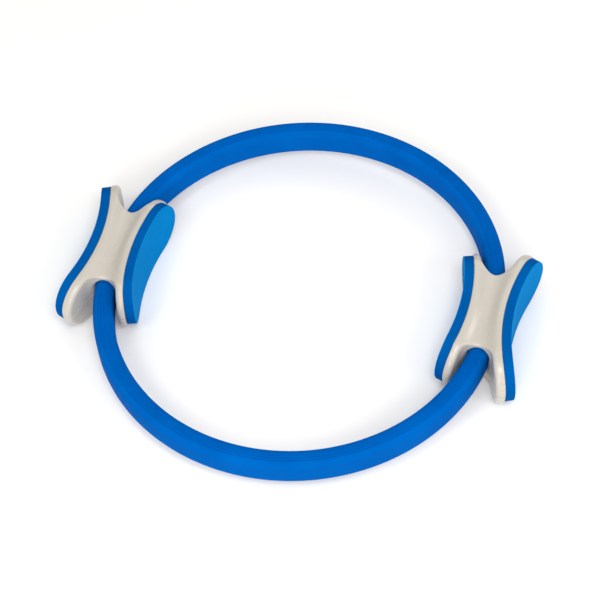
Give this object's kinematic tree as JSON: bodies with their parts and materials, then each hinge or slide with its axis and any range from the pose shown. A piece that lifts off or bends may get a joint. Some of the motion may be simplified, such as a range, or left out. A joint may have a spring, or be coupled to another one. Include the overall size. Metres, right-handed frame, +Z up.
{
  "type": "pilates ring",
  "caption": "Springy foam-covered hoop with padded plastic handles opposite each other, squeezed between the hands or legs for resistance exercise.",
  "frame": {"origin": "on the floor under the ring's centre", "axes": "+Z up; +X through the middle of the right handle; the half hoops bow out along +Y and -Y"},
  "size_m": [0.4082, 0.38, 0.052],
  "materials": {
    "tube_foam": "matte closed-cell foam",
    "pad_foam": "matte closed-cell foam",
    "handle_plastic": "satin moulded plastic",
    "spring_strip": "pultruded glass-fibre strip",
    "plate_steel": "zinc plated",
    "rivet_aluminium": "plain",
    "screw_steel": "zinc plated"
  },
  "bodies": {
    "handle_left": {"handle_upper_left": "handle_plastic", "handle_lower_left": "handle_plastic", "handle_screws_left": "screw_steel", "pad_inner_left": "pad_foam", "pad_outer_left": "pad_foam", "splice_plate_outer_left": "plate_steel", "splice_plate_inner_left": "plate_steel", "splice_rivets_left": "rivet_aluminium", "strip_end_outer_front_left": "spring_strip", "strip_end_inner_front_left": "spring_strip", "strip_end_outer_rear_left": "spring_strip", "strip_end_inner_rear_left": "spring_strip"},
    "handle_right": {"handle_upper_right": "handle_plastic", "handle_lower_right": "handle_plastic", "handle_screws_right": "screw_steel", "pad_inner_right": "pad_foam", "pad_outer_right": "pad_foam", "splice_plate_outer_right": "plate_steel", "splice_plate_inner_right": "plate_steel", "splice_rivets_right": "rivet_aluminium", "strip_end_outer_front_right": "spring_strip", "strip_end_inner_front_right": "spring_strip", "strip_end_outer_rear_right": "spring_strip", "strip_end_inner_rear_right": "spring_strip"},
    "arc_front_left": {"sleeve_front_left": "tube_foam", "strip_outer_front_left": "spring_strip", "strip_inner_front_left": "spring_strip"},
    "arc_front_right": {"sleeve_front_right": "tube_foam", "strip_outer_front_right": "spring_strip", "strip_inner_front_right": "spring_strip"},
    "arc_rear_left": {"sleeve_rear_left": "tube_foam", "strip_outer_rear_left": "spring_strip", "strip_inner_rear_left": "spring_strip"},
    "arc_rear_right": {"sleeve_rear_right": "tube_foam", "strip_outer_rear_right": "spring_strip", "strip_inner_rear_right": "spring_strip"}
  },
  "joints": [
    {"name": "squeeze", "type": "hinge", "parent": "handle_left", "child": "arc_front_left", "pos_m": [-0.166, -0.03882, 0.026], "axis": [0, 0, -1], "range_deg": [-5, 14], "stiffness_Nm_per_rad": 100},
    {"name": "front_crown_bend", "type": "hinge", "parent": "arc_front_left", "child": "arc_front_right", "pos_m": [0, -0.1811, 0.026], "axis": [0, 0, -1], "range_deg": [-28, 10]},
    {"name": "front_right_mouth_bend", "type": "hinge", "parent": "arc_front_right", "child": "handle_right", "pos_m": [0.166, -0.03882, 0.026], "axis": [0, 0, -1], "range_deg": [-5, 14]},
    {"name": "rear_left_mouth_bend", "type": "hinge", "parent": "handle_left", "child": "arc_rear_left", "pos_m": [-0.166, 0.03882, 0.026], "axis": [0, 0, -1], "range_deg": [-14, 5]},
    {"name": "rear_crown_bend", "type": "hinge", "parent": "arc_rear_left", "child": "arc_rear_right", "pos_m": [0, 0.1811, 0.026], "axis": [0, 0, -1], "range_deg": [-10, 28]}
  ],
  "couplings": [
    {"joint": "front_crown_bend", "follows": "squeeze", "ratio": -2},
    {"joint": "front_right_mouth_bend", "follows": "squeeze", "ratio": 1},
    {"joint": "rear_left_mouth_bend", "follows": "squeeze", "ratio": -1},
    {"joint": "rear_crown_bend", "follows": "squeeze", "ratio": 2}
  ]
}
